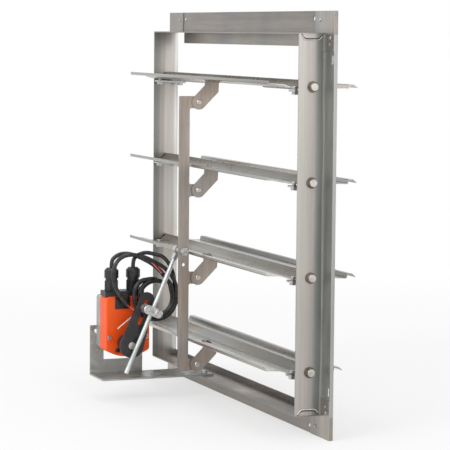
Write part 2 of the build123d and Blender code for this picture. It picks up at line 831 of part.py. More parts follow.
with BuildPart() as output_collar:
    with BuildSketch(side_plane(cover_face_x, hub_y, hub_z)):
        Circle(collar_radius)
        Circle(output_radius + running_gap, mode=Mode.SUBTRACT)
    extrude(amount=collar_depth)
save(output_collar.part, "output_collar")

with BuildPart() as cover_screws:
    with BuildSketch(side_plane(cover_face_x, cover_centre_y, screw_z)):
        with Locations((-screw_reach, 0), (screw_reach, 0)):
            Circle(screw_radius)
            RegularPolygon(screw_socket, 6, mode=Mode.SUBTRACT)
    extrude(amount=screw_head)
save(cover_screws.part, "cover_screws")

plate_y = cover_centre_y - cover_width / 2 + plate_margin + plate_width / 2
plate_z = cover_top - plate_margin - plate_height / 2
with BuildPart() as nameplate:
    with BuildSketch(side_plane(cover_face_x, plate_y, plate_z)):
        RectangleRounded(plate_width, plate_height, sheet)
    extrude(amount=plate_sheet)
save(nameplate.part, "nameplate")

with BuildPart() as release_button:
    with BuildSketch(side_plane(cover_face_x + button_proud, button_y, button_z)):
        Circle(button_radius)
    extrude(amount=-button_length)
    chamfer(release_button.faces().sort_by(Axis.X)[-1].edges(), button_radius / 5)
save(release_button.part, "release_button")

with BuildPart() as terminal_block:
    with BuildSketch(up_plane(cover_top)):
        with Locations((block_y, block_depth / 2 + 1 - cover_face_x)):
            RectangleRounded(block_width, block_depth, sheet)
    extrude(amount=block_height)
save(terminal_block.part, "terminal_block")

gland_spots = [(y, -x) for y, x in gland_centres]
with BuildPart() as gland_bodies:
    with BuildSketch(up_plane(block_top)):
        with Locations(*gland_spots):
            RegularPolygon(gland_radius, 6)
    extrude(amount=gland_body)
    with BuildSketch(up_plane(block_top + gland_body)):
        with Locations(*gland_spots):
            Circle(gland_neck_radius)
    extrude(amount=gland_neck)
save(gland_bodies.part, "gland_bodies")

with BuildPart() as gland_caps:
    with BuildSketch(up_plane(gland_top - gland_cap)):
        with Locations(*gland_spots):
            Circle(gland_radius)
    extrude(amount=gland_cap)
    crown = gland_caps.faces().sort_by(Axis.Z)[-2:].edges()
    chamfer(crown, gland_cap / 4)
save(gland_caps.part, "gland_caps")

# ---- bracket ------------------------------------------------------------------------------------------------
with BuildPart() as bracket:
    with BuildSketch(Plane.XY.offset(web_top)):
        with Locations((bracket_x + foot_width / 2, (foot_front + foot_rear) / 2)):
            Rectangle(foot_width, foot_rear - foot_front)
        with Locations(*foot_bolts):
            Circle(foot_bolt_radius + running_gap, mode=Mode.SUBTRACT)
    extrude(amount=bracket_sheet)
    with BuildSketch(side_plane(bracket_x)):
        with BuildLine():
            Polyline(
                (foot_front, web_top),
                (foot_front, upright_step_z),
                (upright_upper_front, upright_step_z),
                (upright_upper_front, upright_top),
                (upright_rear, upright_top),
                (upright_rear, web_top),
                close=True,
            )
        make_face()
        with Locations(((window_front + window_rear) / 2, (window_top + window_bottom) / 2)):
            Rectangle(window_rear - window_front, window_top - window_bottom, mode=Mode.SUBTRACT)
        with Locations((slant_slot_y, slant_slot_z)):
            SlotOverall(slant_slot_length, slant_slot_width, rotation=-45, mode=Mode.SUBTRACT)
    extrude(amount=bracket_sheet)
save(bracket.part, "bracket")

with BuildPart() as bracket_bolts:
    with BuildSketch(Plane.XY.offset(foot_top)):
        with Locations(*foot_bolts):
            RegularPolygon(foot_head_flats / 2, 6, major_radius=False)
    extrude(amount=foot_head)
    with BuildSketch(Plane.XY.offset(foot_top)):
        with Locations(*foot_bolts):
            Circle(foot_bolt_radius)
    extrude(amount=-bracket_sheet - sheet)
    with BuildSketch(Plane.XY.offset(-half_h)):
        with Locations(*foot_bolts):
            RegularPolygon(foot_head_flats / 2, 6, major_radius=False)
    extrude(amount=-foot_head)
save(bracket_bolts.part, "bracket_bolts")

# ---- cables -------------------------------------------------------------------------------------------------


def corner_radii(points):
    """The largest even bends that a route's runs allow."""
    spots = [Vector(*p) for p in points]
    radii = []
    for a, b, c in zip(spots, spots[1:], spots[2:]):
        turn = math.radians((b - a).get_angle(c - b))
        shorter = min((b - a).length, (c - b).length)
        radii.append(0.45 * shorter / math.tan(turn / 2))
    return radii


def tube(points, radius):
    """A round tube along straight runs joined by tangent arcs."""
    with BuildLine() as route:
        FilletPolyline(*points, radius=corner_radii(points))
    start = Vector(*points[0])
    heading = Vector(*points[1]) - start
    with BuildSketch(Plane(origin=start, z_dir=heading)) as section:
        Circle(radius)
    path = route.wires()[0]
    sweep(section.sketch, path=path)
    return path.length


routes = {
    "feed_cable_1": feed_front,
    "feed_cable_2": feed_rear,
    "tail_cable_1": tail_outer,
    "tail_cable_2": tail_inner,
}
for label, points in routes.items():
    with BuildPart() as run:
        length = tube(points, cable_radius)
    save(run.part, label)
    section = math.pi * cable_radius**2
    print(label, "radii", [round(r, 1) for r in corner_radii(points)], "length", round(length, 1))
    print(label, "volume over section times length", round(run.part.volume / (section * length), 4))

with BuildPart() as cable_coil:
    with BuildSketch(side_plane(coil_x - coil_width / 2, coil_y, coil_z)):
        Circle(coil_outer)
        Circle(coil_inner, mode=Mode.SUBTRACT)
    extrude(amount=coil_width)
    chamfer(cable_coil.edges().filter_by(GeomType.CIRCLE), cable_radius)
save(cable_coil.part, "cable_coil")

lead_gap = 1.5  # from the middle of a sheath's end to a lead
lead_columns = [tail_outer[0][0] + side * lead_gap for side in (-1, 1)]
red_lead = [(-194.5, -161.5), (-185, -172), (-176, -183.5)]
white_lead = [(-194.5, -161.5), (-184.5, -172.5), (-177, -182.5), (-182, -194), (-193, -203), (-205, -211)]
upper_lead = [(-123.5, -116.5), (-131.7, -106.5), (-141.5, -97.5)]
lead_routes = [
    [(lead_columns[0], y, z) for y, z in red_lead],
    [(lead_columns[1], y, z) for y, z in white_lead],
    [(lead_columns[0], y, z) for y, z in upper_lead],
    [(lead_columns[1], y, z) for y, z in upper_lead],
]
with BuildPart() as lead_ends:
    for points in lead_routes:
        tube(points, lead_radius)
save(lead_ends.part, "lead_ends")
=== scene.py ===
"""Looks for the volume control damper: materials, cables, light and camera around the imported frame.

The frame's axes: X across the duct, +Y the way the air leaves, +Z up. Lengths are metres.
"""

import json
import math

import bmesh
import bpy
from mathutils import Matrix, Vector


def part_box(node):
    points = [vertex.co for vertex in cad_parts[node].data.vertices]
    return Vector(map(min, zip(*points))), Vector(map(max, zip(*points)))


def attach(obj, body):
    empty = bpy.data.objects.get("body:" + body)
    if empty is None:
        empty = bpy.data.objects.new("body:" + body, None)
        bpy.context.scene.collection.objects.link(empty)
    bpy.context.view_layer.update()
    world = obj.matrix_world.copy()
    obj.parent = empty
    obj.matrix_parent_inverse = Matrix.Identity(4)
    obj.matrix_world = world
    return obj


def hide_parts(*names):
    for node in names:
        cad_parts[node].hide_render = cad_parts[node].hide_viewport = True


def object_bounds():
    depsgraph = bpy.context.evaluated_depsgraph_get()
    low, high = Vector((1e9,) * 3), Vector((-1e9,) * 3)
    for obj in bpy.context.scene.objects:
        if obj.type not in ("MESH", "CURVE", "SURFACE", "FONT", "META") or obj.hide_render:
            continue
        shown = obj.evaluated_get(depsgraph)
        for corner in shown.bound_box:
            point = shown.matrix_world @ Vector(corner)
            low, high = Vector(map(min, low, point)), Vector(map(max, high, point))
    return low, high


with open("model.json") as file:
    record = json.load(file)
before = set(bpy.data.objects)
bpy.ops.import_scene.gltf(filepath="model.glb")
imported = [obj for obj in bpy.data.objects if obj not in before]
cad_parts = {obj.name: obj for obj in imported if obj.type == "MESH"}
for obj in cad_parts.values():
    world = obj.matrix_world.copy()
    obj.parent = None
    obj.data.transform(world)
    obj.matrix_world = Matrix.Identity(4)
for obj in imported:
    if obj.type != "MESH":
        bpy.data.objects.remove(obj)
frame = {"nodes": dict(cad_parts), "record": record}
cad_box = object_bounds()
scene = bpy.context.scene

# ---- camera ------------------------------------------------------------------------------
CAMERA_PLACE = Vector((3.4143, -1.3889, 0.3089))
CAMERA_TURN = math.radians(21.65)
CAMERA_DIP = math.radians(5.233)
CAMERA_ROLL = math.radians(0.49)
CAMERA_LENS = 170.04
CAMERA_NEAR = 0.05
CAMERA_FAR = 60.0
SENSOR = 36.0

sight = Vector(
    (
        -math.cos(CAMERA_TURN) * math.cos(CAMERA_DIP),
        math.sin(CAMERA_TURN) * math.cos(CAMERA_DIP),
        -math.sin(CAMERA_DIP),
    )
)
level_right = sight.cross(Vector((0, 0, 1))).normalized()
level_up = level_right.cross(sight)
right = math.cos(CAMERA_ROLL) * level_right + math.sin(CAMERA_ROLL) * level_up
up = math.cos(CAMERA_ROLL) * level_up - math.sin(CAMERA_ROLL) * level_right
camera_data = bpy.data.cameras.new("camera")
camera_data.lens = CAMERA_LENS
camera_data.sensor_width = SENSOR
camera_data.clip_start = CAMERA_NEAR
camera_data.clip_end = CAMERA_FAR
camera = bpy.data.objects.new("camera", camera_data)
scene.collection.objects.link(camera)
camera_turned = Matrix((right, up, -sight)).transposed().to_4x4()
camera.matrix_world = Matrix.Translation(CAMERA_PLACE) @ camera_turned
scene.camera = camera


# ---- material kit ------------------------------------------------------------------------
EVEN = (1, 1, 1)  # a noise of the same grain along every axis
BEVEL_SAMPLES = 4
SHEET_METAL = 0.9
SHEET_ROUGHNESS = 0.34
SHEET_EDGE = 0.0006
GRAIN_DEPTH = 0.0001  # relief of rolled sheet, for a wear of 1
JAMB_GRAIN = 0.000012
JAMB_FRONT = -0.045  # the web from front to rear, along Y
JAMB_REAR = 0.006


class Shader:
    """A node material with a Principled shader, built by small helpers."""

    def __init__(self, name, color, metallic, roughness, **sockets):
        self.material = bpy.data.materials.new(name)
        self.material.use_nodes = True
        self.tree = self.material.node_tree
        self.main = self.tree.nodes["Principled BSDF"]
        self.set("Base Color", (*color, 1.0))
        self.set("Metallic", metallic)
        self.set("Roughness", roughness)
        for socket, value in sockets.items():
            self.set(socket.replace("_", " "), value)
        self.place = self.node("ShaderNodeTexCoord").outputs["Object"]

    def set(self, socket, value):
        self.main.inputs[socket].default_value = value

    def node(self, kind, **settings):
        made = self.tree.nodes.new(kind)
        for key, value in settings.items():
            setattr(made, key, value)
        return made

    def link(self, source, target):
        self.tree.links.new(source, target)

    def noise(self, scale, stretch=(1, 1, 1), detail=3.0, roughness=0.55, shift=(0, 0, 0)):
        """Noise in the object's own frame; stretch thins it along an axis."""
        mapping = self.node("ShaderNodeMapping")
        mapping.inputs["Scale"].default_value = stretch
        mapping.inputs["Location"].default_value = shift
        self.link(self.place, mapping.inputs["Vector"])
        texture = self.node("ShaderNodeTexNoise")
        texture.inputs["Scale"].default_value = scale
        texture.inputs["Detail"].default_value = detail
        texture.inputs["Roughness"].default_value = roughness
        self.link(mapping.outputs["Vector"], texture.inputs["Vector"])
        return texture.outputs["Fac"]

    def cells(self, scale, stretch=(1, 1, 1)):
        """Flat random patches, as zinc flowers have."""
        mapping = self.node("ShaderNodeMapping")
        mapping.inputs["Scale"].default_value = stretch
        self.link(self.place, mapping.inputs["Vector"])
        texture = self.node("ShaderNodeTexVoronoi")
        texture.inputs["Scale"].default_value = scale
        self.link(mapping.outputs["Vector"], texture.inputs["Vector"])
        gray = self.node("ShaderNodeRGBToBW")
        self.link(texture.outputs["Color"], gray.inputs["Color"])
        return gray.outputs["Val"]

    def ramp(self, value, *stops):
        made = self.node("ShaderNodeValToRGB")
        elements = made.color_ramp.elements
        while len(elements) < len(stops):
            elements.new(0.5)
        for element, (position, color) in zip(elements, stops):
            element.position = position
            element.color = (*color, 1.0)
        self.link(value, made.inputs["Fac"])
        return made.outputs["Color"]

    def span(self, value, low, high, out_low, out_high):
        made = self.node("ShaderNodeMapRange")
        sockets = ("From Min", "From Max", "To Min", "To Max")
        for socket, number in zip(sockets, (low, high, out_low, out_high)):
            made.inputs[socket].default_value = number
        self.link(value, made.inputs["Value"])
        return made.outputs["Result"]

    def mix(self, factor, first, second, blend="MIX"):
        made = self.node("ShaderNodeMix", data_type="RGBA", blend_type=blend)
        for socket, value in ((0, factor), (6, first), (7, second)):
            if isinstance(value, bpy.types.NodeSocket):
                self.link(value, made.inputs[socket])
            elif socket == 0:
                made.inputs[socket].default_value = value
            else:
                made.inputs[socket].default_value = (*value, 1.0)
        return made.outputs[2]

    def axis(self, name):
        """One coordinate of the surface point, in metres."""
        made = self.node("ShaderNodeSeparateXYZ")
        self.link(self.place, made.inputs["Vector"])
        return made.outputs[name]

    def color(self, value):
        self.link(value, self.main.inputs["Base Color"])

    def rough(self, value, low, high):
        self.link(self.span(value, 0.3, 0.7, low, high), self.main.inputs["Roughness"])

    def bump(self, *layers, edge=0.0):
        """Relief from (value, depth) layers; edge is the radius of corners rounded in shading."""
        normal = None
        if edge:
            bevel = self.node("ShaderNodeBevel", samples=BEVEL_SAMPLES)
            bevel.inputs["Radius"].default_value = edge
            normal = bevel.outputs["Normal"]
        for value, depth in layers:
            made = self.node("ShaderNodeBump")
            made.inputs["Strength"].default_value = 1.0
            made.inputs["Distance"].default_value = depth
            self.link(value, made.inputs["Height"])
            if normal is not None:
                self.link(normal, made.inputs["Normal"])
            normal = made.outputs["Normal"]
        self.link(normal, self.main.inputs["Normal"])


def rolled_sheet(
    name,
    dark,
    light,
    grain,
    roughness=(0.24, 0.46),
    warm=(1.0, 0.93, 0.86),
    edge=SHEET_EDGE,
    wear=0.12,
):
    """Mill-finish sheet: rolling lines along one axis, cloudy patches, scuffs and a warm cast."""
    made = Shader(name, light, SHEET_METAL, SHEET_ROUGHNESS)
    lines = made.noise(260.0, grain, 4.0, 0.65)
    bands = made.noise(30.0, grain, 2.0, 0.5, (0.31, 0.17, 0.05))
    clouds = made.noise(7.0, EVEN, 4.0, 0.6)
    scuff_grain = (grain[0] * 4, grain[1], max(grain[2], 0.12))
    scuffs = made.noise(90.0, scuff_grain, 3.0, 0.6, (0.4, 0.1, 0.9))
    middle = tuple(0.5 * (a + b) for a, b in zip(dark, light))
    base = made.ramp(bands, (0.30, dark), (0.52, middle), (0.72, light))
    low = 0.92 - wear
    fine = made.ramp(lines, (0.32, (low, low, low)), (0.68, (1.0, 1.0, 1.0)))
    toned = made.mix(1.0, base, fine, "MULTIPLY")
    cast = made.ramp(clouds, (0.38, warm), (0.62, (0.93, 0.97, 1.0)))
    tinted = made.mix(1.0, toned, cast, "MULTIPLY")
    worn = made.ramp(scuffs, (0.60, (0.0, 0.0, 0.0)), (0.72, (1.0, 1.0, 1.0)))
    made.color(made.mix(made.span(worn, 0.0, 1.0, 0.0, wear), tinted, light))
    made.rough(clouds, *roughness)
    made.bump((lines, wear * GRAIN_DEPTH), edge=edge)
    return made


def jamb_sheet_with_painted_light(name, *stops):
    """The same sheet on a rolled jamb, with long bands set out from its front edge: the dark bands
    are painted shade and painted reflections, the pale strips painted highlights.
    """
    made = Shader(name, (0.4, 0.4, 0.38), SHEET_METAL, SHEET_ROUGHNESS)
    lines = made.noise(240.0, (0.35, 1.0, 0.02), 4.0, 0.65)
    clouds = made.noise(5.0, (1, 1, 0.6), 3.0, 0.6)
    drift = made.noise(9.0, (1, 1, 0.25), 3.0, 0.6, (0.2, 0.7, 0.1))
    across = made.node("ShaderNodeMath", operation="ADD")
    made.link(made.span(made.axis("Y"), JAMB_FRONT, JAMB_REAR, 0.0, 1.0), across.inputs[0])
    made.link(made.span(drift, 0.3, 0.7, -0.05, 0.05), across.inputs[1])
    # colour across the web from front to rear: bands of painted shade, painted reflection and painted
    # highlight
    base = made.ramp(across.outputs["Value"], *stops)
    fine = made.ramp(lines, (0.32, (0.84, 0.84, 0.84)), (0.68, (1.0, 1.0, 1.0)))
    toned = made.mix(1.0, base, fine, "MULTIPLY")
    paler = made.mix(made.span(clouds, 0.42, 0.66, 0.0, 0.3), toned, (0.5, 0.49, 0.465))
    made.color(paler)
    made.rough(clouds, 0.26, 0.44)
    made.bump((lines, JAMB_GRAIN), edge=SHEET_EDGE)
    return made


def mottled(name, body, patches, tones, gloss, depth, grain=None, edge=0.0, **sockets):
    """Patches of two tones. body is the colour, metallic and roughness of the plain surface; the
    relief follows the patches, or a grain of its own."""
    made = Shader(name, *body, **sockets)
    patch = made.noise(*patches)
    made.color(made.ramp(patch, *tones))
    made.rough(patch, *gloss)
    made.bump((made.noise(*grain) if grain else patch, depth), edge=edge)
    return made


# ---- materials by slot -------------------------------------------------------------------
member_sheet = rolled_sheet(
    "member_sheet", (0.27, 0.25, 0.235), (0.43, 0.41, 0.385), (0.025, 1.0, 0.6)
)
frame_sheet = rolled_sheet(
    "frame_sheet", (0.30, 0.285, 0.265), (0.56, 0.55, 0.53), (0.35, 1.0, 0.03)
)
blade_sheet = rolled_sheet(
    "blade_sheet",
    (0.27, 0.265, 0.25),
    (0.74, 0.73, 0.70),
    (0.02, 1.0, 1.0),
    roughness=(0.2, 0.38),
    edge=0.0,
    wear=0.03,
)
# bands of painted shade and painted reflection across the left jamb, with a pale painted highlight
# strip near the rear
left_jamb_painted_light = jamb_sheet_with_painted_light(
    "left_jamb_painted_light",
    (0.0, (0.20, 0.205, 0.19)),
    (0.2, (0.24, 0.235, 0.22)),
    (0.26, (0.34, 0.31, 0.29)),
    (0.38, (0.36, 0.33, 0.305)),
    (0.46, (0.50, 0.47, 0.43)),
    (0.76, (0.48, 0.455, 0.42)),
    (0.86, (0.70, 0.69, 0.67)),
    (1.0, (0.52, 0.51, 0.49)),
)
# bands of painted shade and painted reflection across the right jamb, with a narrow painted highlight
# strip near the rear
right_jamb_painted_light = jamb_sheet_with_painted_light(
    "right_jamb_painted_light",
    (0.0, (0.47, 0.45, 0.42)),
    (0.12, (0.45, 0.425, 0.395)),
    (0.4, (0.42, 0.375, 0.35)),
    (0.56, (0.37, 0.345, 0.325)),
    (0.68, (0.21, 0.225, 0.21)),
    (0.82, (0.17, 0.185, 0.175)),
    (0.865, (0.55, 0.55, 0.53)),
    (0.9, (0.36, 0.365, 0.35)),
)
arm_plate = rolled_sheet(
    "arm_plate",
    (0.36, 0.315, 0.285),
    (0.52, 0.475, 0.44),
    (1.0, 0.6, 0.05),
    roughness=(0.34, 0.52),
)

bracket_sheet = Shader("bracket_sheet", (0.42, 0.43, 0.41), 0.85, 0.4)
flowers = bracket_sheet.cells(70.0, (1.0, 1.0, 1.4))
haze = bracket_sheet.noise(14.0, EVEN, 4.0, 0.6)
zinc_tone = bracket_sheet.ramp(flowers, (0.2, (0.31, 0.32, 0.305)), (0.8, (0.46, 0.47, 0.45)))
hazed = bracket_sheet.span(haze, 0.35, 0.65, 0.0, 0.6)
bracket_sheet.color(bracket_sheet.mix(hazed, zinc_tone, (0.38, 0.375, 0.35)))
bracket_sheet.rough(flowers, 0.3, 0.5)
bracket_sheet.bump((haze, 0.00006), edge=0.0005)

shaft_steel = mottled(
    "shaft_steel",
    ((0.58, 0.56, 0.53), 0.9, 0.36),
    patches=(60.0, EVEN, 4.0),
    tones=((0.35, (0.44, 0.42, 0.39)), (0.65, (0.66, 0.64, 0.61))),
    gloss=(0.28, 0.5),
    depth=0.00004,
    grain=(420.0, (0.05, 1, 1), 3.0),
    edge=0.0006,
)
zinc = mottled(
    "zinc",
    ((0.55, 0.55, 0.54), 0.92, 0.3),
    patches=(190.0, EVEN, 4.0, 0.6),
    tones=((0.35, (0.40, 0.40, 0.39)), (0.65, (0.66, 0.665, 0.66))),
    gloss=(0.22, 0.46),
    depth=0.00005,
    edge=0.0005,
)

zinc_rod = Shader("zinc_rod", (0.56, 0.57, 0.57), 0.9, 0.36)
drawn = zinc_rod.noise(300.0, (1.0, 1.0, 0.03), 4.0)
dull = zinc_rod.noise(26.0, EVEN, 4.0)
zinc_rod.color(zinc_rod.ramp(dull, (0.35, (0.44, 0.45, 0.45)), (0.65, (0.64, 0.65, 0.65))))
zinc_rod.rough(drawn, 0.3, 0.46)
zinc_rod.bump((drawn, 0.00004), edge=0.0005)

rivets = mottled(
    "rivets",
    ((0.5, 0.49, 0.47), 0.9, 0.4),
    patches=(500.0, EVEN, 3.0),
    tones=((0.3, (0.36, 0.35, 0.33)), (0.7, (0.58, 0.57, 0.55))),
    gloss=(0.3, 0.5),
    depth=0.00006,
    edge=0.0004,
)
bushing = mottled(
    "bushing",
    ((0.2, 0.15, 0.1), 0.8, 0.5),
    patches=(240.0, EVEN, 4.0),
    tones=((0.35, (0.10, 0.085, 0.07)), (0.65, (0.27, 0.21, 0.15))),
    gloss=(0.4, 0.6),
    depth=0.00005,
    edge=0.0004,
)
black_steel = mottled(
    "black_steel",
    ((0.02, 0.02, 0.021), 0.0, 0.5),
    patches=(60.0, EVEN, 5.0, 0.7),
    tones=((0.45, (0.014, 0.014, 0.015)), (0.75, (0.045, 0.044, 0.044))),
    gloss=(0.36, 0.58),
    depth=0.00008,
    grain=(900.0, EVEN, 3.0, 0.6),
    edge=0.0008,
)
grey_housing = mottled(
    "grey_housing",
    ((0.45, 0.46, 0.45), 0.55, 0.5),
    patches=(30.0, EVEN, 4.0, 0.6),
    tones=((0.35, (0.36, 0.37, 0.36)), (0.65, (0.5, 0.51, 0.5))),
    gloss=(0.42, 0.6),
    depth=0.00005,
    grain=(600.0, EVEN, 3.0, 0.6),
    edge=0.0008,
)
black_plastic = mottled(
    "black_plastic",
    ((0.018, 0.018, 0.02), 0.0, 0.42),
    patches=(45.0, EVEN, 4.0, 0.6),
    tones=((0.4, (0.013, 0.013, 0.014)), (0.7, (0.03, 0.03, 0.032))),
    gloss=(0.32, 0.5),
    depth=0.00005,
    grain=(1400.0, EVEN, 2.0, 0.5),
    edge=0.0007,
)
# black_plate also colours the painted shadows at the tab folds and under the curled seams, besides
# the blank plate
black_plate = mottled(
    "black_plate",
    ((0.012, 0.012, 0.013), 0.0, 0.3),
    patches=(80.0, EVEN, 4.0, 0.6),
    tones=((0.4, (0.010, 0.010, 0.011)), (0.7, (0.028, 0.028, 0.03))),
    gloss=(0.24, 0.4),
    depth=0.00004,
    edge=0.0003,
)
orange_cover = mottled(
    "orange_cover",
    ((0.9, 0.1, 0.008), 0.0, 0.45),
    patches=(22.0, EVEN, 4.0, 0.6),
    tones=((0.35, (0.90, 0.085, 0.006)), (0.65, (0.99, 0.125, 0.010))),
    gloss=(0.34, 0.5),
    depth=0.00004,
    grain=(700.0, EVEN, 2.0, 0.5),
    edge=0.0009,
    Specular_IOR_Level=0.3,
)
cable_sheath = mottled(
    "cable_sheath",
    ((0.016, 0.016, 0.017), 0.0, 0.32),
    patches=(120.0, EVEN, 4.0, 0.65),
    tones=((0.4, (0.010, 0.010, 0.011)), (0.72, (0.04, 0.04, 0.042))),
    gloss=(0.22, 0.42),
    depth=0.00008,
)


def lead_material(name, color):
    """The insulation of one core of a cable."""
    made = Shader(name, color, 0.0, 0.38)
    shade = made.noise(300.0, EVEN, 3.0)
    made.color(made.ramp(shade, (0.35, tuple(0.86 * c for c in color)), (0.65, color)))
    made.rough(shade, 0.3, 0.46)
    return made


lead_red = lead_material("lead_red", (0.72, 0.03, 0.02))
lead_white = lead_material("lead_white", (0.85, 0.84, 0.82))

LOOKS = {
    "frame_sheet": frame_sheet,
    "blade_sheet": blade_sheet,
    "bracket_sheet": bracket_sheet,
    "arm_plate": arm_plate,
    "shaft_steel": shaft_steel,
    "zinc": zinc,
    "zinc_rod": zinc_rod,
    "rivets": rivets,
    "bushing": bushing,
    "black_steel": black_steel,
    "grey_housing": grey_housing,
    "black_plastic": black_plastic,
    "black_plate": black_plate,
    "orange_cover": orange_cover,
    "cable_sheath": cable_sheath,
    "leads": lead_red,
}


def dress(piece, look):
    piece.data.materials.clear()
    piece.data.materials.append(look.material)


for row in frame["record"]["subparts"]:
    dress(frame["nodes"][row["node"]], LOOKS[row["material_slot"]])
for node in ("top_member", "bottom_member"):
    dress(frame["nodes"][node], member_sheet)
dress(frame["nodes"]["left_jamb"], left_jamb_painted_light)
dress(frame["nodes"]["right_jamb"], right_jamb_painted_light)

# ---- cables ------------------------------------------------------------------------------
CABLE_RADIUS = 0.0036
LEAD_RADIUS = 0.0011
COIL_Y = -0.132
COIL_Z = -0.161
TURN_STEPS = 16  # control points of a whole turn
LOOSE_SIDE = math.radians(140)
BACK_LAYER = -0.0812  # X of the coil's two layers and of the tails
FRONT_LAYER = -0.0736
TAIL_X = -0.0715


def curve(name, points, radius, look):
    """A smooth round tube along a spline with these control points."""
    data = bpy.data.curves.new(name, "CURVE")
    data.dimensions = "3D"
    spline = data.splines.new("NURBS")
    spline.points.add(len(points) - 1)
    for control, place in zip(spline.points, points):
        control.co = (*place, 1.0)
    spline.order_u = 3
    spline.use_endpoint_u = True
    spline.resolution_u = 6
    data.bevel_depth = radius
    data.bevel_resolution = 4
    data.use_fill_caps = True
    data.materials.append(look.material)
    piece = bpy.data.objects.new(name, data)
    scene.collection.objects.link(piece)
    return piece


def turns(first_angle, last_angle, radii, layers, bulge=0.0):
    """Control points of coil turns about X. The radius and X go evenly from their first value to
    their last; bulge widens a loose turn towards its upper front."""
    steps = max(2, round(abs(last_angle - first_angle) / 360 * TURN_STEPS))
    made = []
    for step in range(steps + 1):
        share = step / steps
        angle = math.radians(first_angle + (last_angle - first_angle) * share)
        radius = radii[0] + (radii[1] - radii[0]) * share
        radius += bulge * max(0.0, math.cos(angle - LOOSE_SIDE)) ** 2
        made.append(
            (
                layers[0] + (layers[1] - layers[0]) * share,
                COIL_Y + radius * math.cos(angle),
                COIL_Z + radius * math.sin(angle),
            )
        )
    return made


feed_front = [
    (-0.104, -0.206, -0.1075),
    (-0.104, -0.206, -0.0955),
    (-0.103, -0.2004, -0.0885),
    (-0.101, -0.1907, -0.0832),
    (-0.098, -0.1792, -0.0822),
    (-0.0945, -0.166, -0.0855),
    (-0.0905, -0.1515, -0.0925),
    (-0.086, -0.134, -0.1025),
    (-0.0825, -0.1185, -0.118),
    (-0.0812, -0.106, -0.134),
]
feed_rear = [
    (-0.104, -0.166, -0.1075),
    (-0.104, -0.166, -0.0955),
    (-0.104, -0.1604, -0.0885),
    (-0.1025, -0.1507, -0.0832),
    (-0.1, -0.1395, -0.0822),
    (-0.096, -0.127, -0.0858),
    (-0.0905, -0.115, -0.0885),
    (-0.085, -0.1055, -0.101),
    (-0.0815, -0.099, -0.117),
    (-0.0812, -0.096, -0.135),
    (-0.0812, -0.0965, -0.153),
]
tail_outer = [
    (TAIL_X, y, z)
    for y, z in (
        (-0.096, -0.161),
        (-0.0955, -0.143),
        (-0.102, -0.125),
        (-0.117, -0.1075),
        (-0.136, -0.0965),
        (-0.158, -0.0855),
        (-0.184, -0.081),
        (-0.204, -0.088),
        (-0.2135, -0.1065),
        (-0.213, -0.129),
        (-0.205, -0.148),
        (-0.195, -0.161),
        (-0.188, -0.1695),
    )
]
tail_inner = [
    (TAIL_X, y, z) for y, z in ((-0.1065, -0.1365), (-0.1145, -0.1275), (-0.1235, -0.1165))
]

feed_1 = curve(
    "feed_cord_1",
    feed_front + turns(24, -305, (0.0318, 0.0310), (BACK_LAYER, BACK_LAYER + 0.0032)),
    CABLE_RADIUS,
    cable_sheath,
)
feed_2 = curve(
    "feed_cord_2",
    feed_rear + turns(-8, -225, (0.0384, 0.0392), (BACK_LAYER, BACK_LAYER + 0.0016), 0.003)
    + turns(-247, -270, (0.0375, 0.0335), (BACK_LAYER + 0.0024, BACK_LAYER + 0.0034)),
    CABLE_RADIUS,
    cable_sheath,
)
outer_turn = turns(90, 112, (0.0335, 0.0372), (BACK_LAYER + 0.0034, BACK_LAYER + 0.005)) + turns(
    134, 345, (0.0392, 0.0372), (FRONT_LAYER, FRONT_LAYER), 0.007
)
inner_turn = turns(55, 386, (0.0310, 0.0322), (BACK_LAYER + 0.0032, FRONT_LAYER), 0.003)
tail_1 = curve("tail_cord_1", outer_turn + tail_outer, CABLE_RADIUS, cable_sheath)
tail_2 = curve("tail_cord_2", inner_turn + tail_inner, CABLE_RADIUS, cable_sheath)


def lead(name, x, points, look):
    return curve(name, [(x, y, z) for y, z in points], LEAD_RADIUS, look)


LEAD_GAP = 0.0015
outer_red = lead(
    "lead_outer_red",
    TAIL_X + LEAD_GAP,
    ((-0.188, -0.1695), (-0.181, -0.1775), (-0.174, -0.1845)),
    lead_red,
)
outer_white = lead(
    "lead_outer_white",
    TAIL_X - LEAD_GAP,
    (
        (-0.188, -0.1695),
        (-0.1805, -0.1765),
        (-0.1705, -0.1825),
        (-0.177, -0.1905),
        (-0.19, -0.2),
        (-0.2045, -0.2115),
    ),
    lead_white,
)
UPPER_LEAD = ((-0.1235, -0.1165), (-0.1317, -0.1065), (-0.1415, -0.0975))
inner_red = lead("lead_inner_red", TAIL_X + LEAD_GAP, UPPER_LEAD, lead_red)
inner_white = lead("lead_inner_white", TAIL_X - LEAD_GAP, UPPER_LEAD, lead_white)

for piece in (feed_1, feed_2, tail_1, tail_2):
    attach(piece, "frame_body")
for piece in (outer_red, outer_white, inner_red, inner_white):
    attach(piece, "frame_body")
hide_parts("feed_cable_1", "cable_coil")
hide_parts("feed_cable_2")
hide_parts("tail_cable_1")
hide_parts("tail_cable_2")
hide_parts("lead_ends")


# ---- small pieces on the actuator, blades and frame --------------------------------------
COVER_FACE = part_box("actuator_cover")[1].x


def block(name, low, high, bevel, look):
    """A box with rounded edges."""
    mesh = bpy.data.meshes.new(name)
    made = bmesh.new()
    bmesh.ops.create_cube(made, size=1.0)
    for vertex in made.verts:
        for axis in range(3):
            vertex.co[axis] = low[axis] if vertex.co[axis] < 0 else high[axis]
    bmesh.ops.bevel(made, geom=made.edges[:], offset=bevel, segments=3, affect="EDGES", profile=0.6)
    made.to_mesh(mesh)
    made.free()
    mesh.materials.append(look.material)
    for face in mesh.polygons:
        face.use_smooth = True
    piece = bpy.data.objects.new(name, mesh)
    scene.collection.objects.link(piece)
    return piece


